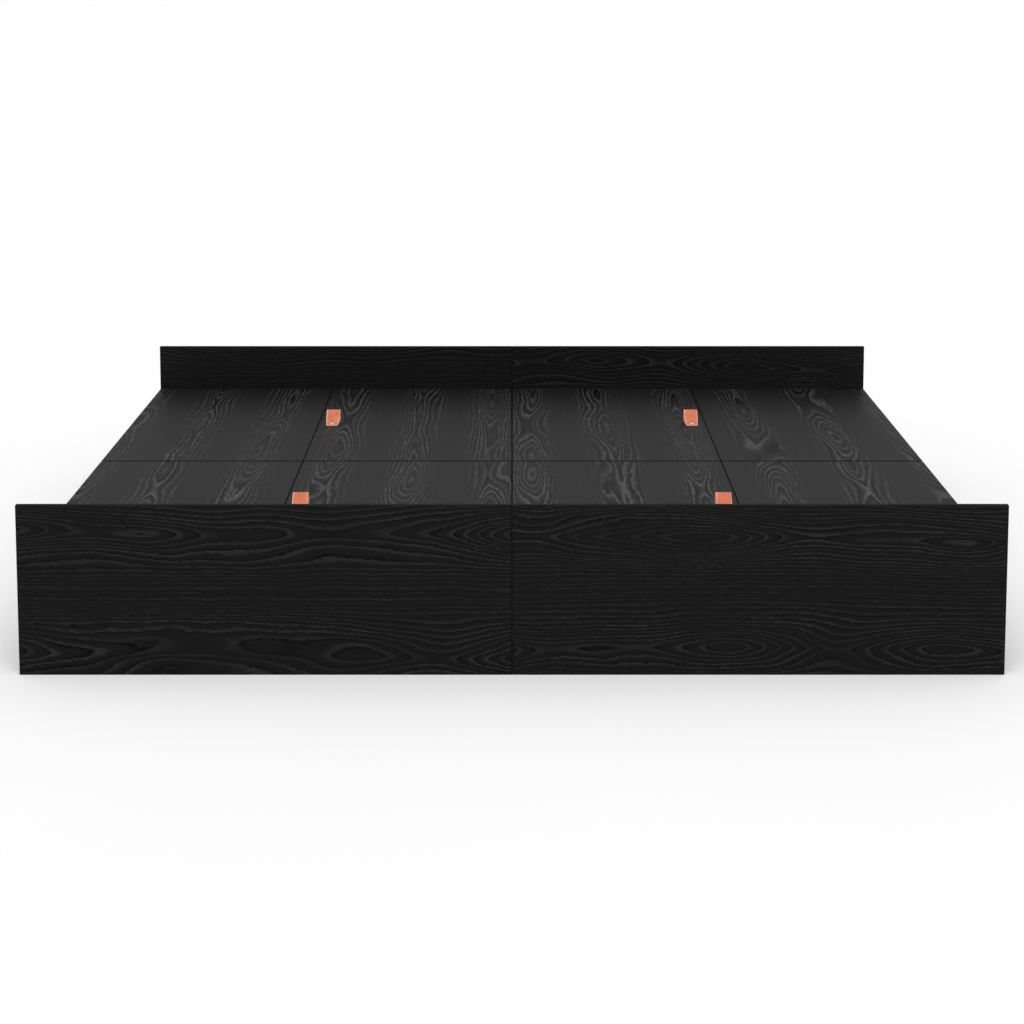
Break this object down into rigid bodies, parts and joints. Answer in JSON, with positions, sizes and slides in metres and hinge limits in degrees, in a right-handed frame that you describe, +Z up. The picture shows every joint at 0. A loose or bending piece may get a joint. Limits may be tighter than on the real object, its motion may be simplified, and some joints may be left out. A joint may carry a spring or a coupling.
{
  "type": "platform bed with storage drawers",
  "caption": "Low flat-pack platform bed with raised foot and head boards, lift-off lids with leather loops over a centre store, and drawers along both long sides.",
  "frame": {"origin": "on the floor, in the middle of the bed's outline", "axes": "+X to the right seen from the foot end, +Y towards the head end, +Z up"},
  "size_m": [1.835, 2.035, 0.322],
  "materials": {
    "black_oak_board": "satin black foil with pressed oak grain on particle board",
    "black_sheet": "matt black thin fibreboard",
    "pine_batten": "planed unfinished softwood",
    "zinc_steel": "zinc-plated sheet steel",
    "runner_steel": "black powder-coated sheet steel",
    "tan_leather": "smooth tan leather strap",
    "screw_steel": "nickel-plated screw"
  },
  "bodies": {
    "frame": {"foot_board_left": "black_oak_board", "foot_board_right": "black_oak_board", "head_board_left": "black_oak_board", "head_board_right": "black_oak_board", "deck_panel_foot_left": "black_oak_board", "partition_foot_left": "black_oak_board", "compartment_base_foot_left": "black_sheet", "deck_panel_foot_right": "black_oak_board", "partition_foot_right": "black_oak_board", "compartment_base_foot_right": "black_sheet", "deck_panel_head_left": "black_oak_board", "partition_head_left": "black_oak_board", "compartment_base_head_left": "black_sheet", "deck_panel_head_right": "black_oak_board", "partition_head_right": "black_oak_board", "compartment_base_head_right": "black_sheet", "spine_panel_foot": "black_oak_board", "spine_panel_head": "black_oak_board", "cross_panel_left": "black_oak_board", "cross_panel_centre": "black_oak_board", "cross_panel_right": "black_oak_board", "support_battens": "pine_batten", "corner_brackets": "zinc_steel", "cabinet_runners": "runner_steel"},
    "storage_lid_foot_left": {"lid_foot_left": "black_oak_board", "pull_tab_foot_left": "tan_leather", "tab_screw_foot_left": "screw_steel"},
    "storage_lid_foot_right": {"lid_foot_right": "black_oak_board", "pull_tab_foot_right": "tan_leather", "tab_screw_foot_right": "screw_steel"},
    "storage_lid_head_left": {"lid_head_left": "black_oak_board", "pull_tab_head_left": "tan_leather", "tab_screw_head_left": "screw_steel"},
    "storage_lid_head_right": {"lid_head_right": "black_oak_board", "pull_tab_head_right": "tan_leather", "tab_screw_head_right": "screw_steel"},
    "drawer_foot_left": {"drawer_front_foot_left": "black_oak_board", "drawer_back_foot_left": "black_oak_board", "drawer_mid_side_foot_left": "black_oak_board", "drawer_end_side_foot_left": "black_oak_board", "drawer_bottom_foot_left": "black_sheet", "drawer_runners_foot_left": "runner_steel"},
    "drawer_foot_right": {"drawer_front_foot_right": "black_oak_board", "drawer_back_foot_right": "black_oak_board", "drawer_mid_side_foot_right": "black_oak_board", "drawer_end_side_foot_right": "black_oak_board", "drawer_bottom_foot_right": "black_sheet", "drawer_runners_foot_right": "runner_steel"},
    "drawer_head_left": {"drawer_front_head_left": "black_oak_board", "drawer_back_head_left": "black_oak_board", "drawer_mid_side_head_left": "black_oak_board", "drawer_end_side_head_left": "black_oak_board", "drawer_bottom_head_left": "black_sheet", "drawer_runners_head_left": "runner_steel"},
    "drawer_head_right": {"drawer_front_head_right": "black_oak_board", "drawer_back_head_right": "black_oak_board", "drawer_mid_side_head_right": "black_oak_board", "drawer_end_side_head_right": "black_oak_board", "drawer_bottom_head_right": "black_sheet", "drawer_runners_head_right": "runner_steel"}
  },
  "joints": [
    {"name": "lid_lift_foot_left", "type": "slide", "parent": "frame", "child": "storage_lid_foot_left", "axis": [0, 0, 1], "range_m": [0, 0.25]},
    {"name": "lid_lift_foot_right", "type": "slide", "parent": "frame", "child": "storage_lid_foot_right", "axis": [0, 0, 1], "range_m": [0, 0.25]},
    {"name": "lid_lift_head_left", "type": "slide", "parent": "frame", "child": "storage_lid_head_left", "axis": [0, 0, 1], "range_m": [0, 0.25]},
    {"name": "lid_lift_head_right", "type": "slide", "parent": "frame", "child": "storage_lid_head_right", "axis": [0, 0, 1], "range_m": [0, 0.25]},
    {"name": "drawer_slide_foot_left", "type": "slide", "parent": "frame", "child": "drawer_foot_left", "axis": [-1, 0, 0], "range_m": [0, 0.34]},
    {"name": "drawer_slide_foot_right", "type": "slide", "parent": "frame", "child": "drawer_foot_right", "axis": [1, 0, 0], "range_m": [0, 0.34]},
    {"name": "drawer_slide_head_left", "type": "slide", "parent": "frame", "child": "drawer_head_left", "axis": [-1, 0, 0], "range_m": [0, 0.34]},
    {"name": "drawer_slide_head_right", "type": "slide", "parent": "frame", "child": "drawer_head_right", "axis": [1, 0, 0], "range_m": [0, 0.34]}
  ]
}
